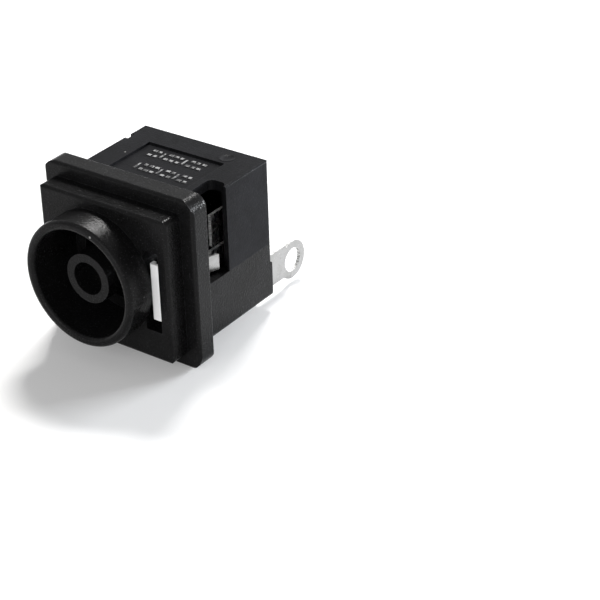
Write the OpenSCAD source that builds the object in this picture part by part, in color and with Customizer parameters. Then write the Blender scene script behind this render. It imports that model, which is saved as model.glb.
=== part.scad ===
// Panel barrel jack with a square flange, a round mouth and two eyelet solder lugs.
// Millimetres. +Z is up, the mouth faces -Y and the lugs leave at +Y.
// The origin is on the plug axis, in the plane of the flange's rear face.

/* [Front] */
// width of the square flange
flange_width = 14; // [10:0.1:18]
// height of the square flange
flange_height = 13.9; // [10:0.1:18]
// thickness of the flange
flange_thickness = 1.65; // [1:0.05:3]
// radius of the four flange corners seen from the front
flange_corner = 1.1; // [0.3:0.1:3]
// rounding along the flange's front edges
flange_edge = 0.25; // [0.05:0.05:0.6]
// rounding along the flange's rear edges
flange_rear_edge = 0.1; // [0.05:0.05:0.6]
// flange centre right of the plug axis
flange_shift_x = 0.85; // [0:0.05:2]
// flange centre above the plug axis
flange_shift_z = 0.1; // [-1:0.05:1]
// width of the raised plate in front of the flange
plate_width = 11.9; // [9:0.1:15]
// height of the raised plate
plate_height = 11.7; // [9:0.1:15]
// thickness of the raised plate
plate_thickness = 1.7; // [0.8:0.05:3]
// radius of the raised plate's corners
plate_corner = 0.4; // [0.1:0.1:2]
// rounding along the raised plate's front edges
plate_edge = 0.25; // [0.05:0.05:0.6]
// plate centre right of the plug axis
plate_shift_x = 0.72; // [0:0.05:2]
// plate centre above the plug axis
plate_shift_z = 0.05; // [-1:0.05:1]

/* [Mouth] */
// outside diameter of the round barrel
barrel_diameter = 10.15; // [8:0.05:12]
// length of the barrel in front of the plate
barrel_length = 2.35; // [1:0.1:5]
// diameter of the mouth
mouth_diameter = 8.6; // [7:0.1:10]
// depth of the wide mouth from the rim
mouth_depth = 4.9; // [2:0.1:8]
// rounding of the rim, inside and outside
rim_rounding = 0.32; // [0.05:0.01:0.34]
// diameter of the deep bore that takes the plug's sleeve
sleeve_bore_diameter = 6.8; // [6:0.1:8]
// depth of the deep bore from the rim
sleeve_bore_depth = 10.1; // [6:0.1:12]
// outside diameter of the centre post
post_diameter = 4; // [3:0.1:4.3]
// distance of the post's tip behind the rim
post_setback = 1.1; // [0:0.05:3]
// diameter of the hole in the post
post_hole_diameter = 2.6; // [1.8:0.1:3.2]
// rounding of the post's tip, inside and outside
post_rounding = 0.15; // [0.05:0.01:0.3]
// wall of the tube around the deep bore
tube_wall = 0.55; // [0.4:0.05:1]
// thickness of the wall that closes the tube
tube_end = 1.25; // [0.6:0.05:2]

/* [Front slot] */
// how far the slot runs in under the barrel's right-hand side
slot_reach = 0.725; // [0.4:0.005:1]
// width of the slot
slot_width = 1.45; // [0.8:0.05:2]
// height of the slot
slot_height = 6.6; // [4:0.1:8]
// slot centre above the plug axis
slot_shift_z = -0.1; // [-1:0.05:1]
// depth of the relief in the barrel's side, beside the spring
barrel_relief = 0.22; // [0.1:0.01:0.3]
// height of the opening that lets the spring reach the sleeve
spring_window_height = 3; // [2:0.1:5]
// front of that opening behind the raised plate's front
spring_window_front = 0.9; // [0.5:0.05:1.5]
// rear of that opening behind the flange
spring_window_rear = 3; // [2:0.1:4]

/* [Body] */
// width of the body behind the flange
body_width = 11.76; // [9:0.02:14]
// height of the body
body_height = 11.68; // [9:0.02:14]
// depth of the body behind the flange
body_depth = 8.88; // [6:0.02:12]
// distance from the body's centre to the right-hand side of the front slot
body_shift_x = 4.87; // [4:0.01:6]
// body centre above the plug axis
body_shift_z = 0.01; // [-1:0.02:1]
// thickness of the bottom, the top, the back and the right-hand wall
wall = 0.8; // [0.5:0.05:1.2]
// thickness of the left-hand wall, beside the thick contact
thin_wall = 0.72; // [0.4:0.02:1]
// height of the seam above the underside
seam_height = 4.7; // [3:0.1:7]
// width and depth of the groove that shows at the left-hand seam
seam_groove = 0.12; // [0.05:0.01:0.3]
// rounding of the two long bottom edges
bottom_rounding = 0.4; // [0.1:0.05:1]
// rounding of the cover's long top edges
cover_rounding = 0.15; // [0.1:0.05:1]
// rounding of the cover's top rear edge
rear_rounding = 0.2; // [0.1:0.05:1.5]
// rounding of the cover's upright rear edges
corner_rounding = 0.35; // [0.1:0.05:1.5]
// thickness of the cover's thin lip behind the housing
rear_lip = 0.25; // [0.15:0.05:0.5]
// clearance between the cover and the housing where they don't touch
cover_gap = 0.03; // [0.01:0.01:0.1]

/* [Cover details] */
// length of the side window along the body
window_length = 3.6; // [2:0.1:6]
// how far the window runs back on the top face
window_top_length = 4.07; // [2:0.01:6]
// width of the window on the top face
window_top_width = 1.77; // [1:0.01:3]
// radius at the window's end on the top face
window_corner = 0.5; // [0.1:0.05:0.8]
// depth of the marking pocket in the top face
pocket_depth = 0.2; // [0.1:0.05:0.4]
// length of the marking pocket along the body
pocket_length = 5.3; // [3:0.1:7]
// width of the marking pocket
pocket_width = 7.2; // [3:0.1:9]
// front of the marking pocket behind the flange
pocket_front = 1.3; // [0.5:0.1:3]
// left side of the pocket from the body's left side
pocket_left = 2.2; // [0.5:0.1:4]
// length of the notch in the top left edge
edge_notch_length = 0.8; // [0.3:0.1:2]
// depth of the notch in the top left edge
edge_notch_depth = 0.4; // [0.1:0.05:0.6]
// height of the two lug openings in the back
lug_opening_height = 3; // [2:0.1:4]
// width of the locating tab at the back of the underside
tab_width = 1.45; // [0.8:0.05:3]
// height of the locating tab
tab_height = 0.6; // [0.3:0.05:1]
// tab centre left of the body's centre
tab_shift = 0.2; // [0:0.05:1]
// diameter of the ejector dimple in the back
dimple_diameter = 0.45; // [0.2:0.05:1]
// depth of the ejector dimple
dimple_depth = 0.1; // [0.05:0.01:0.2]
// ejector dimple below the plug axis
dimple_drop = 3; // [0:0.05:5]
// diameter of the round gate recess in the underside
gate_diameter = 1.4; // [0.8:0.1:3]
// depth of the gate recess
gate_depth = 0.06; // [0.05:0.01:0.3]
// diameter of the gate stub left in the recess
gate_stub = 0.8; // [0.4:0.1:1.2]
// gate centre behind the flange
gate_place = 4; // [2:0.1:6]

/* [Contacts] */
// thickness of the spring contact's sheet
spring_sheet = 0.25; // [0.15:0.05:0.4]
// thickness of the centre contact's sheet
centre_sheet = 0.65; // [0.4:0.05:1]
// clearance between a contact and the plastic beside it
contact_gap = 0.02; // [0.01:0.01:0.1]
// width of the spring's fold at the front of the slot
fold_width = 0.8; // [0.6:0.01:0.85]
// outside radius of the fold's two bends
fold_radius = 0.12; // [0.05:0.01:0.25]
// height of the fold
fold_height = 4.6; // [3:0.1:6]
// front of the fold behind the raised plate's front
fold_setback = 0.05; // [0:0.01:0.5]
// height of the spring's tongue
tongue_height = 2.4; // [1:0.1:2.8]
// how far the tongue reaches into the deep bore
tongue_reach = 0.35; // [0.1:0.05:0.5]
// where the tongue touches the plug's sleeve, behind the flange
tongue_place = 0.85; // [0:0.05:2]
// front edge of the spring's plate in the window
spring_plate_front = 2.95; // [2:0.05:4]
// rear edge of the spring's plate
spring_plate_rear = 7.6; // [6:0.1:8]
// underside of the spring's plate above the plug axis
spring_plate_bottom = 0.9; // [0:0.1:2]
// top of the spring's plate above the plug axis
spring_plate_top = 3.5; // [2:0.1:5]
// underside of the strip that joins the plate to the fold
strip_bottom = -0.95; // [-2:0.05:0]
// top of that strip
strip_top = 0.6; // [0.2:0.05:0.8]
// length of the barb lanced out of the strip
barb_length = 1.1; // [0.5:0.05:2]
// root of the barb behind the flange
barb_root = 2.05; // [1:0.05:3]
// how far the barb stands out
barb_reach = 0.44; // [0.2:0.02:0.8]
// height of the barb
barb_height = 1.3; // [0.6:0.05:1.5]
// height of both lug blades
blade_height = 2.75; // [2:0.05:3.5]
// front end of the spring blade's slot behind the flange
spring_slot_front = 5; // [4:0.1:7]
// front end of the centre blade's slot behind the flange
centre_slot_front = 5.5; // [4:0.1:7]
// how far the blades stand below the underside
blade_proud = 0.1; // [0:0.01:0.3]
// spring contact's eyelet centre behind the body
spring_eyelet_reach = 4.04; // [2.5:0.02:6]
// centre contact's eyelet centre behind the body
centre_eyelet_reach = 3.68; // [2.5:0.02:6]
// eyelet centre below the plug axis
eyelet_drop = 4.84; // [3:0.02:6]
// outside diameter of the eyelets
eyelet_diameter = 3.2; // [2.5:0.05:4]
// diameter of the eyelet holes
eyelet_hole = 2; // [1.2:0.05:2.4]
// outside diameter of the centre socket
socket_diameter = 2.3; // [1.8:0.05:2.5]
// bore of the centre socket, for the plug's centre pin
socket_bore = 1.5; // [1.2:0.05:1.8]
// distance of the socket's mouth behind the post's tip
socket_setback = 2.4; // [0.2:0.05:3]
// depth of the socket's bore
socket_depth = 5.6; // [4:0.1:8]
// length of the slits that leave the socket's spring fingers
socket_slit_length = 3.5; // [1:0.1:5]
// width of the slits
socket_slit_width = 0.3; // [0.1:0.05:0.5]
// diameter of the socket's tail, through the bent plate
socket_tail = 1.6; // [1:0.1:1.8]
// diameter of the tail's riveted head
rivet_diameter = 2.2; // [1.8:0.1:3]
// height of the riveted head
rivet_height = 0.25; // [0.1:0.05:0.5]
// half the height of the centre contact's bent plate
bent_plate_half = 1.3; // [1:0.1:2]
// length of the centre contact's upright arm along the body
centre_arm = 1.8; // [1:0.1:3]

/* [Hidden] */
$fn = 96;
eps = 0.01;
plate_front_y = -flange_thickness - plate_thickness;
rim_y = plate_front_y - barrel_length;
post_tip_y = rim_y + post_setback;
mouth_floor_y = rim_y + mouth_depth;
bore_floor_y = rim_y + sleeve_bore_depth;
tube_rear_y = centre_slot_front;
tube_radius = sleeve_bore_diameter / 2 + tube_wall;
body_bottom = body_shift_z - body_height / 2;
body_top = body_shift_z + body_height / 2;
seam_z = body_bottom + seam_height;
lug_top_z = body_bottom + lug_opening_height;
housing_rear_y = body_depth - rear_lip - cover_gap;
slot_left = barrel_diameter / 2 - slot_reach;
slot_right = slot_left + slot_width;
slot_bottom = slot_shift_z - slot_height / 2;
// the body's right-hand wall stands outside the slot
body_centre_x = slot_right - body_shift_x;
body_left = body_centre_x - body_width / 2;
body_right = body_centre_x + body_width / 2;
// the spring's main wall lies just inside the slot's right-hand side
spring_outer_x = slot_right - contact_gap;
spring_inner_x = spring_outer_x - spring_sheet;
// the centre blade lies against the left-hand wall
centre_outer_x = body_left + thin_wall + contact_gap;
centre_inner_x = centre_outer_x + centre_sheet;
blade_bottom = body_bottom - blade_proud;
blade_top = blade_bottom + blade_height;
fold_bottom = slot_shift_z - fold_height / 2;
fold_top = slot_shift_z + fold_height / 2;
fold_front_y = plate_front_y + fold_setback;
fold_rear_y = fold_front_y + 2 * spring_sheet;
// inner leaf of the fold, and where it ends and the tongue begins
leaf_outer_x = spring_outer_x - fold_width;
leaf_inner_x = leaf_outer_x + spring_sheet;
leaf_end_y = plate_front_y + spring_window_front + contact_gap;
tongue_x = sleeve_bore_diameter / 2 - tongue_reach;
tab_left = body_centre_x - tab_shift - tab_width / 2;
tab_right = tab_left + tab_width;
socket_front_y = post_tip_y + socket_setback;
rivet_y = centre_slot_front + centre_sheet;

// prism along Y between two stations, drawn in X and Z
module along_y(front, rear) {
    translate([0, rear, 0])
        rotate([90, 0, 0])
            linear_extrude(rear - front)
                children();
}

// prism along X between two stations, drawn in Y and Z
module along_x(left, right) {
    translate([left, 0, 0])
        rotate([90, 0, 90])
            linear_extrude(right - left)
                children();
}

// prism along Z between two stations, drawn in X and Y
module along_z(bottom, top) {
    translate([0, 0, bottom])
        linear_extrude(top - bottom)
            children();
}

// rectangle between two corners
module area(left, bottom, right, top) {
    translate([left, bottom])
        square([right - left, top - bottom]);
}

// rectangle with its own radius at each corner: left low, right low, right high, left high
module soft_area(left, bottom, right, top, radii) {
    difference() {
        area(left, bottom, right, top);
        soft_corner(left, bottom, 1, 1, radii[0]);
        soft_corner(right, bottom, -1, 1, radii[1]);
        soft_corner(right, top, -1, -1, radii[2]);
        soft_corner(left, top, 1, -1, radii[3]);
    }
}

// the piece outside a rounded corner
module soft_corner(x, y, way_x, way_y, radius) {
    if (radius > 0) {
        translate([x, y])
            scale([way_x, way_y])
                difference() {
                    translate([-1, -1])
                        square(radius + 1);
                    translate([radius, radius])
                        circle(radius);
                }
    }
}

// plate across Y with rounded corners and rounded front and rear edges
module edged_plate(left, right, bottom, top, front, rear, corner, front_edge, rear_edge) {
    intersection() {
        along_y(front, rear)
            soft_area(left, bottom, right, top, [corner, corner, corner, corner]);
        along_x(left - 1, right + 1)
            soft_area(front, bottom, rear, top, [front_edge, rear_edge, rear_edge, front_edge]);
        along_z(bottom - 1, top + 1)
            soft_area(left, front, right, rear, [front_edge, front_edge, rear_edge, rear_edge]);
    }
}

// cylinder on the plug axis between two stations
module on_axis(diameter, front, rear) {
    translate([0, rear, 0])
        rotate([90, 0, 0])
            cylinder(h = rear - front, d = diameter);
}

// ring on the plug axis whose front end is rounded inside and outside
module soft_ring(inner, outer, front, rear, radius) {
    translate([0, rear, 0])
        rotate([90, 0, 0])
            rotate_extrude()
                soft_area(inner / 2, 0, outer / 2, rear - front, [0, 0, radius, radius]);
}

module flange_and_plate() {
    edged_plate(
        flange_shift_x - flange_width / 2, flange_shift_x + flange_width / 2,
        flange_shift_z - flange_height / 2, flange_shift_z + flange_height / 2,
        -flange_thickness, 0, flange_corner, flange_edge, flange_rear_edge);
    edged_plate(
        plate_shift_x - plate_width / 2, plate_shift_x + plate_width / 2,
        plate_shift_z - plate_height / 2, plate_shift_z + plate_height / 2,
        plate_front_y, -flange_thickness / 2, plate_corner, plate_edge, 0);
}

// bottom plate and the two low side walls, as one trough
module trough() {
    along_y(-flange_thickness / 2, housing_rear_y)
        difference() {
            soft_area(body_left, body_bottom, body_right, seam_z,
                [bottom_rounding, bottom_rounding, 0, 0]);
            area(body_left + thin_wall, body_bottom + wall, body_right - wall, seam_z + 1);
        }
    // low corner posts that close the back beside the lugs
    along_y(housing_rear_y - eps, body_depth)
        intersection() {
            soft_area(body_left, body_bottom, body_right, seam_z,
                [bottom_rounding, bottom_rounding, 0, 0]);
            union() {
                area(body_left, body_bottom, body_left + thin_wall, lug_top_z - cover_gap);
                area(body_right - wall, body_bottom, body_right, lug_top_z - cover_gap);
            }
        }
    // locating tab that fills the notch in the cover's lip
    along_y(housing_rear_y - wall, body_depth - cover_gap)
        area(tab_left, body_bottom, tab_right, body_bottom + tab_height);
}

module housing() {
    color("#1c1c1e")
    difference() {
        union() {
            flange_and_plate();
            on_axis(barrel_diameter, plate_front_y - barrel_length / 2, -flange_thickness / 2);
            soft_ring(mouth_diameter, barrel_diameter, rim_y, plate_front_y, rim_rounding);
            on_axis(2 * tube_radius, -flange_thickness / 2, tube_rear_y);
            trough();
        }
        // wide mouth, then the deep bore around the post
        difference() {
            union() {
                on_axis(mouth_diameter, rim_y - 1, mouth_floor_y);
                on_axis(sleeve_bore_diameter, mouth_floor_y - eps, bore_floor_y);
            }
            on_axis(post_diameter, post_tip_y + post_rounding, bore_floor_y + 1);
            soft_ring(post_hole_diameter, post_diameter, post_tip_y, post_tip_y + 1, post_rounding);
        }
        // hole for the centre socket
        on_axis(post_hole_diameter, post_tip_y - 1, bore_floor_y - 1);
        on_axis(socket_diameter + 2 * contact_gap, bore_floor_y - 2, tube_rear_y + 1);
        // slot for the spring, bounded by the barrel
        difference() {
            along_y(plate_front_y - 1, 1)
                area(slot_left, slot_bottom, slot_right, slot_bottom + slot_height);
            on_axis(barrel_diameter, plate_front_y - 2, plate_front_y);
            on_axis(barrel_diameter - 2 * barrel_relief, plate_front_y - eps, 2);
        }
        // opening from the slot into the bore
        along_y(plate_front_y + spring_window_front, spring_window_rear)
            area(post_diameter / 2 + sleeve_bore_diameter / 8, -spring_window_height / 2,
                leaf_inner_x, spring_window_height / 2);
        // slots for the two lug blades in the underside
        along_z(body_bottom - 1, blade_top + contact_gap) {
            area(spring_inner_x - contact_gap, spring_slot_front,
                spring_outer_x + contact_gap, body_depth + 1);
            area(centre_outer_x - contact_gap, centre_slot_front - contact_gap,
                centre_inner_x + contact_gap, body_depth + 1);
        }
        // round gate recess in the underside, with its stub
        along_z(body_bottom - 1, body_bottom + gate_depth)
            translate([tab_left + tab_width / 2, gate_place])
                difference() {
                    circle(d = gate_diameter);
                    circle(d = gate_stub);
                }
    }
}

module rear_cover() {
    color("#202022")
    difference() {
        intersection() {
            along_y(0, body_depth)
                soft_area(body_left, body_bottom, body_right, body_top,
                    [bottom_rounding, bottom_rounding, cover_rounding, cover_rounding]);
            along_x(body_left - 1, body_right + 1)
                soft_area(0, body_bottom, body_depth, body_top, [0, 0, rear_rounding, 0]);
            along_z(body_bottom - 1, body_top + 1)
                soft_area(body_left, 0, body_right, body_depth,
                    [0, 0, corner_rounding, corner_rounding]);
        }
        // hollow inside
        along_y(-1, body_depth - wall)
            area(body_left + thin_wall, body_bottom - 1, body_right - wall, body_top - wall);
        // room for the housing's tube
        on_axis(2 * tube_radius + 2 * cover_gap, -1, tube_rear_y + cover_gap);
        // room for the housing's low walls and bottom plate
        along_y(-1, body_depth - rear_lip) {
            area(body_left - 1, body_bottom - 1, body_left + thin_wall + cover_gap, seam_z);
            area(body_right - wall - cover_gap, body_bottom - 1, body_right + 1, seam_z);
            area(body_left - 1, body_bottom - 1, body_right + 1, body_bottom + wall + cover_gap);
        }
        // openings for the lugs and the corner posts
        along_y(body_depth - wall - 1, body_depth + 1) {
            area(body_left - 1, body_bottom - 1, centre_inner_x + 4 * contact_gap, lug_top_z);
            area(spring_inner_x - 4 * contact_gap, body_bottom - 1, body_right + 1, lug_top_z);
            area(tab_left - cover_gap, body_bottom - 1,
                tab_right + cover_gap, body_bottom + tab_height + cover_gap);
        }
        // ejector dimple in the back
        translate([0, body_depth - dimple_depth, -dimple_drop])
            rotate([-90, 0, 0])
                cylinder(h = 1, d = dimple_diameter);
        // window in the right-hand wall and in the top
        along_z(seam_z - 1, body_top + 1) {
            area(body_right - window_top_width, -1, body_right + 1, window_length);
            soft_area(body_right - window_top_width, 0, body_right - 0.2, window_top_length,
                [0, 0, window_corner, window_corner]);
        }
        // groove along the left-hand seam; the right-hand one closes tight
        along_y(-1, body_depth + 1)
            area(body_left - 1, seam_z - 1, body_left + seam_groove, seam_z + seam_groove);
        // shallow marking pocket in the top
        along_z(body_top - pocket_depth, body_top + 1)
            area(body_left + pocket_left, pocket_front,
                body_left + pocket_left + pocket_width, pocket_front + pocket_length);
        // notch in the top left edge
        along_z(body_top - edge_notch_depth, body_top + 1)
            area(body_left - 1, pocket_front + pocket_length - edge_notch_length / 2,
                body_left + edge_notch_depth, pocket_front + pocket_length + edge_notch_length / 2);
    }
}

// flat blade and eyelet of a solder lug, drawn in Y and Z
module lug_outline(front, reach) {
    difference() {
        union() {
            area(front, blade_bottom, body_depth + reach - eyelet_diameter / 4, blade_top);
            translate([body_depth + reach, -eyelet_drop])
                circle(d = eyelet_diameter);
        }
        translate([body_depth + reach, -eyelet_drop])
            circle(d = eyelet_hole);
    }
}

module spring_contact() {
    color("#d8d8d6") {
        along_x(spring_inner_x, spring_outer_x) {
            lug_outline(spring_slot_front + contact_gap, spring_eyelet_reach);
            // upright arm from the lug, plate in the window, strip and wall of the fold
            area(spring_slot_front + contact_gap, blade_top - 1, spring_plate_rear, spring_plate_top);
            area(spring_plate_front, spring_plate_bottom, spring_plate_rear, spring_plate_top);
            area(fold_rear_y - eps, strip_bottom, spring_plate_rear, strip_top);
            area(fold_rear_y - eps, fold_bottom, spring_window_height / 4, fold_top);
        }
        // fold at the front of the slot
        along_z(fold_bottom, fold_top)
            difference() {
                soft_area(leaf_outer_x, fold_front_y, spring_outer_x, fold_rear_y,
                    [fold_radius, fold_radius, 0, 0]);
                area(leaf_inner_x, fold_front_y + spring_sheet, spring_inner_x, fold_rear_y + 1);
            }
        // tongue that runs back and inwards to the sleeve
        along_z(-tongue_height / 2, tongue_height / 2)
            spring_tongue();
        // barb lanced out of the strip
        along_z(strip_bottom, strip_bottom + barb_height)
            polygon([
                [spring_outer_x - spring_sheet / 2, barb_root],
                [spring_outer_x, barb_root],
                [spring_outer_x + barb_reach, barb_root + barb_length],
                [spring_outer_x + barb_reach - spring_sheet, barb_root + barb_length]]);
    }
}

// leaf behind the fold, then the tongue with its crest and its turned-out tail
module spring_tongue() {
    polygon([
        [leaf_outer_x, fold_rear_y - eps],
        [leaf_inner_x, fold_rear_y - eps],
        [leaf_inner_x, leaf_end_y],
        [tongue_x + 1.3 * spring_sheet, tongue_place],
        [tongue_x + 0.7, tongue_place + 1.05],
        [tongue_x + 0.7 - spring_sheet, tongue_place + 1.15],
        [tongue_x, tongue_place],
        [leaf_outer_x, leaf_end_y]]);
}

module centre_contact() {
    color("#dcdcda") {
        difference() {
            union() {
                along_x(centre_outer_x, centre_inner_x) {
                    lug_outline(centre_slot_front, centre_eyelet_reach);
                    area(centre_slot_front, blade_top - 1,
                        centre_slot_front + centre_arm, bent_plate_half);
                }
                // plate bent across behind the tube to the socket
                along_y(centre_slot_front, centre_slot_front + centre_sheet) {
                    area(centre_outer_x, -bent_plate_half, 0, bent_plate_half);
                    circle(r = bent_plate_half);
                }
            }
            on_axis(socket_tail + contact_gap, centre_slot_front - 1, rivet_y + 1);
        }
    }
}

module centre_socket() {
    color("#c9a24a")
    difference() {
        union() {
            soft_ring(0, socket_diameter, socket_front_y, centre_slot_front, post_rounding);
            on_axis(socket_tail, centre_slot_front - 1, rivet_y + rivet_height);
            on_axis(rivet_diameter, rivet_y, rivet_y + rivet_height);
        }
        on_axis(socket_bore, socket_front_y - 1, socket_front_y + socket_depth);
        // slits that leave spring fingers
        along_y(socket_front_y - 1, socket_front_y + socket_slit_length)
            area(-socket_diameter, -socket_slit_width / 2, socket_diameter, socket_slit_width / 2);
    }
}

housing();
rear_cover();
spring_contact();
centre_contact();
centre_socket();
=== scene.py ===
import math

import bpy
from mathutils import Matrix, Vector


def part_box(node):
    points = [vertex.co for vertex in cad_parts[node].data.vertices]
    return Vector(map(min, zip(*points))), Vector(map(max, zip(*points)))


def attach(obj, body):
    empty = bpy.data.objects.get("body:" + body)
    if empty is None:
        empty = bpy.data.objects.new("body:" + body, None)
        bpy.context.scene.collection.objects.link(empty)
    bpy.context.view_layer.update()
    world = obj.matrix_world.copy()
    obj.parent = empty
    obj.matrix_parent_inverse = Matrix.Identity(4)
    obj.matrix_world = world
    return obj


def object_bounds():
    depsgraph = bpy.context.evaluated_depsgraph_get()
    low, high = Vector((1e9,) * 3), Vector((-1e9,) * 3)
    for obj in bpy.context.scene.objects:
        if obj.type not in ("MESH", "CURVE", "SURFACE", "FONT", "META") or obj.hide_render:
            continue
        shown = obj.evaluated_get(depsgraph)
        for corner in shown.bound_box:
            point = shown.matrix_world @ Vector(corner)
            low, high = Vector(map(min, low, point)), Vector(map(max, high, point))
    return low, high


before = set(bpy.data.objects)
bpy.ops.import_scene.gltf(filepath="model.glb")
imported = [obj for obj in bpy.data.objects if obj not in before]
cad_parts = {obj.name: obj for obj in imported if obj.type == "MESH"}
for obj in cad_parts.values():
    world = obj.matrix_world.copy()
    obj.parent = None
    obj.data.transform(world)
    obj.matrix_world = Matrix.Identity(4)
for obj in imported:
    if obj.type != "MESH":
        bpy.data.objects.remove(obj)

cad_box = [list(corner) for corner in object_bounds()]
MM = 0.001
bpy.ops.object.select_all(action="DESELECT")

# ---------------------------------------------------------------------------
# Camera: the jack is seen from its front right and above, 143 mm away.
# It comes first, because every piece after it is judged through it.
# ---------------------------------------------------------------------------
view_azimuth = math.radians(40.84)
view_elevation = math.radians(28.51)
view_roll = math.radians(-3.99)
view_distance = 142.89 * MM
aim = Vector((0.84, 2.0, 0.0)) * MM
backward = Vector((
    math.sin(view_azimuth) * math.cos(view_elevation),
    -math.cos(view_azimuth) * math.cos(view_elevation),
    math.sin(view_elevation)))
level = Vector((math.cos(view_azimuth), math.sin(view_azimuth), 0.0))
upright = backward.cross(level)
camera_right = math.cos(view_roll) * level + math.sin(view_roll) * upright
camera_up = math.cos(view_roll) * upright - math.sin(view_roll) * level

camera_data = bpy.data.cameras.new("bench_camera")
camera_data.sensor_width = 36
camera_data.lens = 114.2
camera_data.shift_x = 0.2454
camera_data.shift_y = -0.0909
camera_data.clip_start = 0.005
camera = bpy.data.objects.new("bench_camera", camera_data)
bpy.context.scene.collection.objects.link(camera)
axes = Matrix((camera_right, camera_up, backward)).transposed().to_4x4()
camera.matrix_world = Matrix.Translation(aim + backward * view_distance) @ axes
bpy.context.scene.camera = camera

# ---------------------------------------------------------------------------
# Housing: the front moulding with flange, raised plate, barrel, mouth and post.
# Black glass-filled nylon, injection-moulded in a spark-eroded tool that leaves
# a fine sparkling grain, with edges that handling has rubbed a little brighter.
# Pale specks painted into its colour are painted glints of light on that grain.
# ---------------------------------------------------------------------------


def add_socket(tree, name, kind, direction, value=None):
    """One named socket on the outside of a node group."""
    socket = tree.interface.new_socket(name=name, in_out=direction, socket_type=kind)
    if value is not None:
        socket.default_value = value


def add_node(tree, kind, links=(), **settings):
    """One node with its settings and its incoming links."""
    node = tree.nodes.new(kind)
    for name, value in settings.items():
        setattr(node, name, value)
    for socket, source in links:
        tree.links.new(source, node.inputs[socket])
    return node


def remap(tree, source, low, high, to_low, to_high):
    """Map Range node between two spans; the last two may be sockets."""
    node = add_node(tree, "ShaderNodeMapRange", [("Value", source)])
    node.inputs["From Min"].default_value = low
    node.inputs["From Max"].default_value = high
    for name, value in (("To Min", to_low), ("To Max", to_high)):
        if isinstance(value, bpy.types.NodeSocket):
            tree.links.new(value, node.inputs[name])
        else:
            node.inputs[name].default_value = value
    return node.outputs["Result"]


def noise(tree, vector, scale, detail, roughness=0.5):
    """Noise value; a scale of 1000 has a grain of about one millimetre."""
    node = add_node(tree, "ShaderNodeTexNoise", [("Vector", vector)])
    node.inputs["Scale"].default_value = scale
    node.inputs["Detail"].default_value = detail
    node.inputs["Roughness"].default_value = roughness
    return node.outputs["Fac"]


def arithmetic(tree, operation, first, second):
    """Math node; each side may be a socket or a number."""
    node = add_node(tree, "ShaderNodeMath", operation=operation)
    for slot, value in ((0, first), (1, second)):
        if isinstance(value, bpy.types.NodeSocket):
            tree.links.new(value, node.inputs[slot])
        else:
            node.inputs[slot].default_value = value
    return node.outputs[0]


def tint(tree, factor, first, second):
    """Mix of two colours; each may be a socket or three numbers."""
    node = add_node(tree, "ShaderNodeMix", data_type="RGBA")
    tree.links.new(factor, node.inputs["Factor"])
    for slot, value in ((6, first), (7, second)):
        if isinstance(value, bpy.types.NodeSocket):
            tree.links.new(value, node.inputs[slot])
        else:
            node.inputs[slot].default_value = (*value, 1)
    return node.outputs[2]


# grain, flow marks and smudges of the nylon, and painted glints: pale specks in its colour for
# light glinting on the grain
moulded_grain = bpy.data.node_groups.new("moulded_grain", "ShaderNodeTree")
add_socket(moulded_grain, "Vector", "NodeSocketVector", "INPUT")
add_socket(moulded_grain, "Dark", "NodeSocketColor", "INPUT", (0.01, 0.01, 0.01, 1))
add_socket(moulded_grain, "Light", "NodeSocketColor", "INPUT", (0.02, 0.02, 0.02, 1))
add_socket(moulded_grain, "Painted Glints", "NodeSocketFloat", "INPUT", 0.5)
add_socket(moulded_grain, "Smooth", "NodeSocketFloat", "INPUT", 0.35)
add_socket(moulded_grain, "Rough", "NodeSocketFloat", "INPUT", 0.5)
add_socket(moulded_grain, "Color", "NodeSocketColor", "OUTPUT")
add_socket(moulded_grain, "Roughness", "NodeSocketFloat", "OUTPUT")
add_socket(moulded_grain, "Height", "NodeSocketFloat", "OUTPUT")
entry = moulded_grain.nodes.new("NodeGroupInput")
leave = moulded_grain.nodes.new("NodeGroupOutput")
place = entry.outputs["Vector"]
flow = noise(moulded_grain, place, 320, 5, 0.6)
smudge = noise(moulded_grain, place, 1100, 4, 0.65)
grain = noise(moulded_grain, place, 6500, 2, 0.6)
glint_noise = noise(moulded_grain, place, 9000, 1, 0.5)
drift = arithmetic(moulded_grain, "ADD", arithmetic(moulded_grain, "MULTIPLY", flow, 0.5),
                   arithmetic(moulded_grain, "MULTIPLY", smudge, 0.5))
body_tint = tint(moulded_grain, remap(moulded_grain, drift, 0.38, 0.62, 0, 1),
                 entry.outputs["Dark"], entry.outputs["Light"])
# painted glints: where the fine noise peaks, the colour is lifted to a pale grey that stands for
# light glinting on the grain
painted_glint_mask = arithmetic(moulded_grain, "MULTIPLY", remap(moulded_grain, glint_noise, 0.62, 0.72, 0, 1),
                    entry.outputs["Painted Glints"])
moulded_grain.links.new(tint(moulded_grain, painted_glint_mask, body_tint, (0.16, 0.16, 0.17)),
                        leave.inputs["Color"])
moulded_grain.links.new(remap(moulded_grain, drift, 0.36, 0.64, entry.outputs["Smooth"],
                              entry.outputs["Rough"]), leave.inputs["Roughness"])
moulded_grain.links.new(grain, leave.inputs["Height"])

# rubbed outer edges, broken up into short lengths
edge_polish = bpy.data.node_groups.new("edge_polish", "ShaderNodeTree")
add_socket(edge_polish, "Vector", "NodeSocketVector", "INPUT")
add_socket(edge_polish, "Width", "NodeSocketFloat", "INPUT", 0.12 * MM)
add_socket(edge_polish, "Amount", "NodeSocketFloat", "INPUT", 1.0)
add_socket(edge_polish, "Mask", "NodeSocketFloat", "OUTPUT")
entry = edge_polish.nodes.new("NodeGroupInput")
leave = edge_polish.nodes.new("NodeGroupOutput")
softened = add_node(edge_polish, "ShaderNodeBevel", [("Radius", entry.outputs["Width"])], samples=6)
surface = edge_polish.nodes.new("ShaderNodeNewGeometry")
turned = add_node(edge_polish, "ShaderNodeVectorMath",
                  [(0, softened.outputs["Normal"]), (1, surface.outputs["Normal"])],
                  operation="DOT_PRODUCT")
on_edge = remap(edge_polish, turned.outputs["Value"], 0.99, 0.88, 0, 1)
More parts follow.
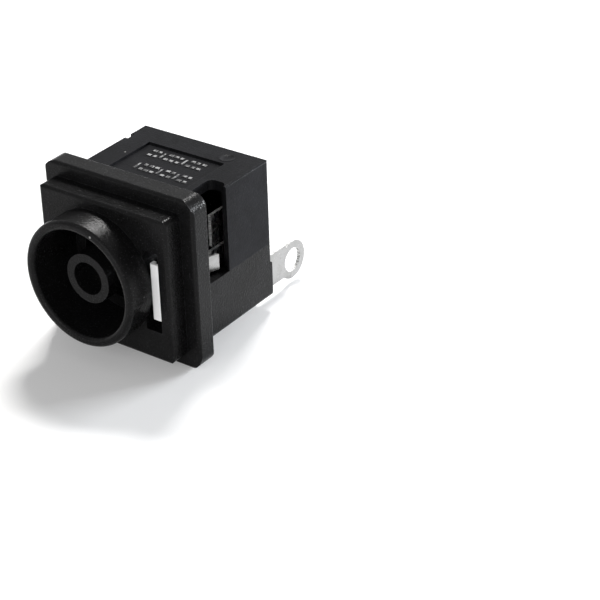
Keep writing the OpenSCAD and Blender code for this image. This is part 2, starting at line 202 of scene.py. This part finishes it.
patchy = remap(edge_polish, noise(edge_polish, entry.outputs["Vector"], 1300, 4, 0.6),
               0.40, 0.66, 0, 1)
edge_polish.links.new(
    arithmetic(edge_polish, "MULTIPLY", arithmetic(edge_polish, "MULTIPLY", on_edge, patchy),
               entry.outputs["Amount"]), leave.inputs["Mask"])

# single pale specks of dust that cling to the dark plastic
dust_specks = bpy.data.node_groups.new("dust_specks", "ShaderNodeTree")
add_socket(dust_specks, "Vector", "NodeSocketVector", "INPUT")
add_socket(dust_specks, "Spacing", "NodeSocketFloat", "INPUT", 700)
add_socket(dust_specks, "Share", "NodeSocketFloat", "INPUT", 0.2)
add_socket(dust_specks, "Mask", "NodeSocketFloat", "OUTPUT")
entry = dust_specks.nodes.new("NodeGroupInput")
leave = dust_specks.nodes.new("NodeGroupOutput")
cells = add_node(dust_specks, "ShaderNodeTexVoronoi",
                 [("Vector", entry.outputs["Vector"]), ("Scale", entry.outputs["Spacing"])])
chosen = add_node(dust_specks, "ShaderNodeSeparateColor", [("Color", cells.outputs["Color"])])
picked = arithmetic(dust_specks, "LESS_THAN", chosen.outputs[0], entry.outputs["Share"])
near = remap(dust_specks, cells.outputs["Distance"], 0.03, 0.075, 1, 0)
dust_specks.links.new(arithmetic(dust_specks, "MULTIPLY", picked, near), leave.inputs["Mask"])


nylon_ior = 1.53
dust_colour = (0.30, 0.30, 0.29)
dust_spacing = 620
dust_share = 0.10
grain_height = 0.028 * MM


def nylon(name, dark, light, worn, smooth, rough, painted_glints, grain_depth, wear, specular):
    """Black moulded nylon with drifting gloss, grain, painted glints, rubbed edges and dust."""
    material = bpy.data.materials.new(name)
    material.use_nodes = True
    tree = material.node_tree
    shader = tree.nodes["Principled BSDF"]
    shader.inputs["IOR"].default_value = nylon_ior
    shader.inputs["Specular IOR Level"].default_value = specular
    where = tree.nodes.new("ShaderNodeTexCoord").outputs["Object"]
    skin = add_node(tree, "ShaderNodeGroup", node_tree=moulded_grain)
    tree.links.new(where, skin.inputs["Vector"])
    for socket, value in (("Dark", (*dark, 1)), ("Light", (*light, 1)), ("Painted Glints", painted_glints),
                          ("Smooth", smooth), ("Rough", rough)):
        skin.inputs[socket].default_value = value
    rubbed = add_node(tree, "ShaderNodeGroup", node_tree=edge_polish)
    tree.links.new(where, rubbed.inputs["Vector"])
    rubbed.inputs["Amount"].default_value = wear
    dusty = add_node(tree, "ShaderNodeGroup", node_tree=dust_specks)
    tree.links.new(where, dusty.inputs["Vector"])
    dusty.inputs["Spacing"].default_value = dust_spacing
    dusty.inputs["Share"].default_value = dust_share
    edged = tint(tree, rubbed.outputs["Mask"], skin.outputs["Color"], worn)
    tree.links.new(tint(tree, dusty.outputs["Mask"], edged, dust_colour),
                   shader.inputs["Base Color"])
    tree.links.new(skin.outputs["Roughness"], shader.inputs["Roughness"])
    relief = add_node(tree, "ShaderNodeBump", [("Height", skin.outputs["Height"])])
    relief.inputs["Strength"].default_value = grain_depth
    relief.inputs["Distance"].default_value = grain_height
    tree.links.new(relief.outputs["Normal"], shader.inputs["Normal"])
    return material


def paint(node_name, material):
    """The one finish of a CAD node."""
    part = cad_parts[node_name]
    part.data.materials.clear()
    part.data.materials.append(material)


housing_nylon = nylon("housing_nylon", (0.0055, 0.0055, 0.0055), (0.0085, 0.0085, 0.009),
                      (0.04, 0.04, 0.042), 0.19, 0.25, 0.10, 1.0, 0.6, 0.08)
paint("housing", housing_nylon)

# ---------------------------------------------------------------------------
# Rear cover: the second moulding, clipped over the body from the top and back.
# The same nylon from another tool, a little greyer and bluer, with crisp edges.
# ---------------------------------------------------------------------------
cover_nylon = nylon("cover_nylon", (0.0100, 0.0102, 0.0112), (0.0135, 0.0138, 0.0155),
                    (0.05, 0.05, 0.054), 0.28, 0.36, 0.05, 0.6, 0.5, 0.025)
paint("rear_cover", cover_nylon)
cover_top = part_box("rear_cover")[1].z

# ---------------------------------------------------------------------------
# Spring contact and centre contact: bronze sheet, stamped, bent and nickelled.
# The faces keep faint rolling lines under the plating and the cut edges are matt from the punch.
# The spring's front fold is made matt and painted near white, and the spring's cut edges are
# painted pale too: painted highlights for the light they catch.
# ---------------------------------------------------------------------------


# painted highlight: the front fold and its edges are painted this near white for the light they
# catch in the front slot
painted_fold_highlight = (0.92, 0.92, 0.92)
pale_fold_from_y = -2.0 * MM
pale_fold_full_y = -2.8 * MM
cut_matting = 0.5
fold_matting = 0.55


def nickel(name, bright, dull, edge, smooth, rough, sheet_axis):
    """Nickelled sheet: rolled faces and matt punched edges, each in its given colour;
    the front end is painted near white, a painted highlight, and made matt.
    """
    material = bpy.data.materials.new(name)
    material.use_nodes = True
    tree = material.node_tree
    shader = tree.nodes["Principled BSDF"]
    shader.inputs["Metallic"].default_value = 1.0
    coordinates = tree.nodes.new("ShaderNodeTexCoord")
    where = coordinates.outputs["Object"]
    rolled_place = add_node(tree, "ShaderNodeMapping", [("Vector", where)])
    rolled_place.inputs["Scale"].default_value = (9000, 450, 9000)
    rolled = noise(tree, rolled_place.outputs["Vector"], 1, 3)
    punched_place = add_node(tree, "ShaderNodeMapping", [("Vector", where)])
    punched_place.inputs["Scale"].default_value = (2500, 14000, 14000)
    punched = noise(tree, punched_place.outputs["Vector"], 1, 3)
    patches = remap(tree, noise(tree, where, 1000, 5, 0.6), 0.35, 0.65, 0, 1)
    facing = add_node(tree, "ShaderNodeSeparateXYZ", [("Vector", coordinates.outputs["Normal"])])
    across = arithmetic(tree, "ABSOLUTE", facing.outputs[sheet_axis], 0)
    cut = remap(tree, across, 0.75, 0.45, 0, 1)
    scored = tint(tree, remap(tree, punched, 0.35, 0.65, 0, 1), edge, dull)
    along = add_node(tree, "ShaderNodeSeparateXYZ", [("Vector", where)])
    # mask of the painted highlight at the front end, which is also made matt
    painted_fold_mask = remap(tree, along.outputs["Y"], pale_fold_from_y, pale_fold_full_y, 0, 1)
    face = tint(tree, painted_fold_mask, tint(tree, patches, bright, dull), painted_fold_highlight)
    tree.links.new(tint(tree, cut, face, tint(tree, painted_fold_mask, scored, painted_fold_highlight)),
                   shader.inputs["Base Color"])
    gloss = remap(tree, patches, 0, 1, smooth, rough)
    matt = arithmetic(tree, "MAXIMUM", arithmetic(tree, "MULTIPLY", cut, cut_matting),
                      arithmetic(tree, "MULTIPLY", painted_fold_mask, fold_matting))
    tree.links.new(arithmetic(tree, "ADD", gloss, matt), shader.inputs["Roughness"])
    lines = add_node(tree, "ShaderNodeBump", [("Height", rolled)])
    lines.inputs["Strength"].default_value = 0.2
    lines.inputs["Distance"].default_value = 0.004 * MM
    tree.links.new(lines.outputs["Normal"], shader.inputs["Normal"])
    return material


# the spring's punched edges are painted pale (0.92): a painted highlight for light catching them in
# the window
spring_nickel = nickel("spring_nickel", (0.38, 0.38, 0.38), (0.32, 0.32, 0.315),
                       (0.92, 0.92, 0.91), 0.22, 0.34, 0)
lug_nickel = nickel("lug_nickel", (0.46, 0.457, 0.448), (0.38, 0.377, 0.368),
                    (0.40, 0.393, 0.385), 0.18, 0.32, 0)
paint("spring_contact", spring_nickel)
paint("centre_contact", lug_nickel)

# ---------------------------------------------------------------------------
# Centre socket: a turned brass sleeve with slit fingers, riveted behind the tube.
# It sits in the post's shadow, with turning marks under a thin grey plating. Its colour is kept
# dark, painted shade of the deep hole, with patches of tarnish.
# ---------------------------------------------------------------------------
socket_plating = bpy.data.materials.new("socket_plating")
socket_plating.use_nodes = True
socket_tree = socket_plating.node_tree
socket_shader = socket_tree.nodes["Principled BSDF"]
socket_shader.inputs["Metallic"].default_value = 1.0
socket_where = socket_tree.nodes.new("ShaderNodeTexCoord").outputs["Object"]
turning_place = add_node(socket_tree, "ShaderNodeMapping", [("Vector", socket_where)])
turning_place.inputs["Scale"].default_value = (300, 16000, 300)
turning = noise(socket_tree, turning_place.outputs["Vector"], 1, 3)
tarnish = remap(socket_tree, noise(socket_tree, socket_where, 1500, 4, 0.6), 0.35, 0.65, 0, 1)
# painted shade: both colours are kept dark for the shade of the deep hole, and the patches between
# them are tarnish
socket_tree.links.new(tint(socket_tree, tarnish, (0.34, 0.32, 0.28), (0.20, 0.185, 0.155)),
                      socket_shader.inputs["Base Color"])
socket_tree.links.new(remap(socket_tree, turning, 0.3, 0.7, 0.28, 0.5),
                      socket_shader.inputs["Roughness"])
turned_lines = add_node(socket_tree, "ShaderNodeBump", [("Height", turning)])
turned_lines.inputs["Strength"].default_value = 0.3
turned_lines.inputs["Distance"].default_value = 0.006 * MM
socket_tree.links.new(turned_lines.outputs["Normal"], socket_shader.inputs["Normal"])
paint("centre_socket", socket_plating)

# ---------------------------------------------------------------------------
# Tool marks in the cover's pocket: two rows of small raised dashes and dots.
# They are moulded with the cover, and bits of their tops are painted near white: painted glints for
# the light their facets catch.
# ---------------------------------------------------------------------------
pocket_depth = 0.2 * MM
pocket_floor = cover_top - pocket_depth
mark_height = 0.11 * MM
mark_root = 0.02 * MM      # how far a mark reaches into the pocket's floor
mark_slope = 0.16          # share of a mark's side taken by its sloping edge
mark_crown = 0.25          # share of its height by which the top is raised
mark_rows = (
    # y of the row's middle, x of its first mark, shape of each mark along the row
    (5.47, -1.55, "=:|==:|=:="),
    (3.25, -1.15, "|:==|=:|=:"))
mark_pitch = 0.52
strokes = {
    # centre x, centre y, width and length of each stroke inside one mark, in mm
    "=": ((0, 0.38, 0.42, 0.34), (0, -0.38, 0.40, 0.34)),
    ":": ((0, 0.36, 0.34, 0.36), (0.03, -0.37, 0.34, 0.36)),
    "|": ((-0.02, 0, 0.20, 0.92),)}


def edit_top_face(piece):
    """Edit mode with only the upward faces of the active piece selected."""
    bpy.ops.object.mode_set(mode="EDIT")
    bpy.ops.mesh.select_all(action="DESELECT")
    bpy.ops.object.mode_set(mode="OBJECT")
    for face in piece.data.polygons:
        face.select = face.normal.z > 0.9
    bpy.ops.object.mode_set(mode="EDIT")


bpy.ops.mesh.primitive_cube_add(size=1, location=(0, 0, 0.5))
stroke_pattern = bpy.context.object
edit_top_face(stroke_pattern)
bpy.ops.mesh.inset(thickness=mark_slope)
bpy.ops.transform.translate(value=(0, 0, mark_crown))
bpy.ops.object.mode_set(mode="OBJECT")
marks = []
for row_y, row_x, shapes in mark_rows:
    for step, shape in enumerate(shapes):
        for stroke_x, stroke_y, width, length in strokes[shape]:
            mark = stroke_pattern.copy()
            mark.data = stroke_pattern.data.copy()
            bpy.context.scene.collection.objects.link(mark)
            mark.location = ((row_x + step * mark_pitch + stroke_x) * MM,
                             (row_y + stroke_y) * MM, pocket_floor - mark_root)
            mark.scale = (width * MM, length * MM, mark_height)
            marks.append(mark)
bpy.data.objects.remove(stroke_pattern)
bpy.ops.object.select_all(action="DESELECT")
for mark in marks:
    mark.select_set(True)
bpy.context.view_layer.objects.active = marks[0]
bpy.ops.object.join()
pocket_marks = bpy.context.object
pocket_marks.name = "pocket_marks"
bpy.ops.object.transform_apply(location=True, rotation=True, scale=True)
bpy.ops.object.select_all(action="DESELECT")

mark_black = (0.012, 0.012, 0.013)
mark_painted_glint = (0.92, 0.92, 0.92)
mark_nylon = bpy.data.materials.new("mark_nylon")
mark_nylon.use_nodes = True
mark_tree = mark_nylon.node_tree
mark_shader = mark_tree.nodes["Principled BSDF"]
mark_where = mark_tree.nodes.new("ShaderNodeTexCoord")
mark_level = add_node(mark_tree, "ShaderNodeSeparateXYZ",
                      [("Vector", mark_where.outputs["Object"])])
raised = remap(mark_tree, mark_level.outputs["Z"], pocket_floor + 0.05 * MM,
               pocket_floor + 0.09 * MM, 0, 1)
glint_bits = remap(mark_tree, noise(mark_tree, mark_where.outputs["Object"], 1900, 1),
                    0.48, 0.50, 0, 1)
# painted glints: bits of the marks' raised tops are painted near white for light caught by their
# facets
mark_tree.links.new(
    tint(mark_tree, arithmetic(mark_tree, "MULTIPLY", raised, glint_bits),
         mark_black, mark_painted_glint), mark_shader.inputs["Base Color"])
mark_tree.links.new(remap(mark_tree, glint_bits, 0, 1, 0.45, 0.25),
                    mark_shader.inputs["Roughness"])
pocket_marks.data.materials.append(mark_nylon)
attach(pocket_marks, "root")

# ---------------------------------------------------------------------------
# Ejector witness: the faint round print of a pin at the rear of the cover's top.
# The pin's edge leaves a thin raised lip in the nylon around a shallow dish.
# ---------------------------------------------------------------------------
witness_radius = 0.6 * MM
witness_x = 4.02 * MM
witness_y = 7.46 * MM
witness_stand = 0.04 * MM  # half of it shows above the cover's top
lip_width = 0.05 * MM
dish_depth = 0.017 * MM
bpy.ops.mesh.primitive_cylinder_add(
    vertices=48, radius=witness_radius, depth=witness_stand,
    location=(witness_x, witness_y, cover_top))
ejector_witness = bpy.context.object
ejector_witness.name = "ejector_witness"
edit_top_face(ejector_witness)
bpy.ops.mesh.inset(thickness=lip_width)
bpy.ops.mesh.inset(thickness=lip_width)
bpy.ops.transform.translate(value=(0, 0, -dish_depth))
bpy.ops.object.mode_set(mode="OBJECT")
bpy.ops.object.transform_apply(location=True, rotation=True, scale=True)
bpy.ops.object.shade_smooth_by_angle(angle=math.radians(30))
ejector_witness.data.materials.append(cover_nylon)
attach(ejector_witness, "root")
bpy.ops.object.select_all(action="DESELECT")

# ---------------------------------------------------------------------------
# Bench and light: a white table that keeps the jack's shadow. A small soft light
# above and behind draws the highlights, a larger one behind at the right lights
# the side, and a broad one in front fills the face.
# ---------------------------------------------------------------------------
table_gap = 0.01 * MM
table_glow = 0.20          # added only where the table is seen or mirrored
room_fill = 0.25           # what the room gives as light
room_seen_level = 0.70     # what the room shows to the eye and in reflections
table_top = cad_box[0][2] - table_gap
bpy.ops.mesh.primitive_plane_add(size=4.0, location=(0, 0, table_top))
table = bpy.context.object
table.name = "table"
table_paint = bpy.data.materials.new("table_paint")
table_paint.use_nodes = True
table_tree = table_paint.node_tree
table_shader = table_tree.nodes["Principled BSDF"]
table_shader.inputs["Roughness"].default_value = 0.9
table_shader.inputs["Specular IOR Level"].default_value = 0.1
table_where = table_tree.nodes.new("ShaderNodeTexCoord").outputs["Object"]
table_tree.links.new(tint(table_tree, noise(table_tree, table_where, 30, 3),
                          (0.79, 0.79, 0.79), (0.81, 0.81, 0.81)),
                     table_shader.inputs["Base Color"])
seen_by = table_tree.nodes.new("ShaderNodeLightPath")
direct = arithmetic(table_tree, "MAXIMUM", seen_by.outputs["Is Camera Ray"],
                    arithmetic(table_tree, "MAXIMUM", seen_by.outputs["Is Glossy Ray"],
                               seen_by.outputs["Is Transmission Ray"]))
glow = add_node(table_tree, "ShaderNodeEmission",
                [("Strength", arithmetic(table_tree, "MULTIPLY", direct, table_glow))])
both = add_node(table_tree, "ShaderNodeAddShader",
                [(0, table_shader.outputs[0]), (1, glow.outputs[0])])
table_tree.links.new(both.outputs[0], table_tree.nodes["Material Output"].inputs["Surface"])
table.data.materials.append(table_paint)
bpy.ops.object.select_all(action="DESELECT")

room = bpy.data.worlds.new("room")
bpy.context.scene.world = room
room.use_nodes = True
room_tree = room.node_tree
room_light = room_tree.nodes["Background"]
room_light.inputs["Color"].default_value = (1, 1, 1, 1)
room_seen = room_tree.nodes.new("ShaderNodeLightPath")
room_direct = arithmetic(room_tree, "MAXIMUM", room_seen.outputs["Is Camera Ray"],
                         arithmetic(room_tree, "MAXIMUM", room_seen.outputs["Is Glossy Ray"],
                                    room_seen.outputs["Is Transmission Ray"]))
room_tree.links.new(remap(room_tree, room_direct, 0, 1, room_fill, room_seen_level),
                    room_light.inputs["Strength"])


def soft_box(name, place, width, height, power, colour):
    """Rectangular soft light aimed at the jack."""
    data = bpy.data.lights.new(name, "AREA")
    data.shape = "RECTANGLE"
    data.size = width
    data.size_y = height
    data.energy = power
    data.color = colour
    lamp = bpy.data.objects.new(name, data)
    bpy.context.scene.collection.objects.link(lamp)
    lamp.location = place
    lamp.rotation_euler = (-Vector(place)).to_track_quat("-Z", "Y").to_euler()


soft_box("top_box", (-0.065, 0.15, 0.233), 0.08, 0.05, 0.90, (1.0, 0.99, 0.98))
soft_box("right_box", (0.13, 0.27, 0.02), 0.12, 0.12, 3.4, (0.93, 0.96, 1.0))
soft_box("front_box", (0.02, -0.34, 0.12), 0.30, 0.30, 0.55, (1.0, 1.0, 1.0))
bpy.context.scene.view_settings.view_transform = "Standard"
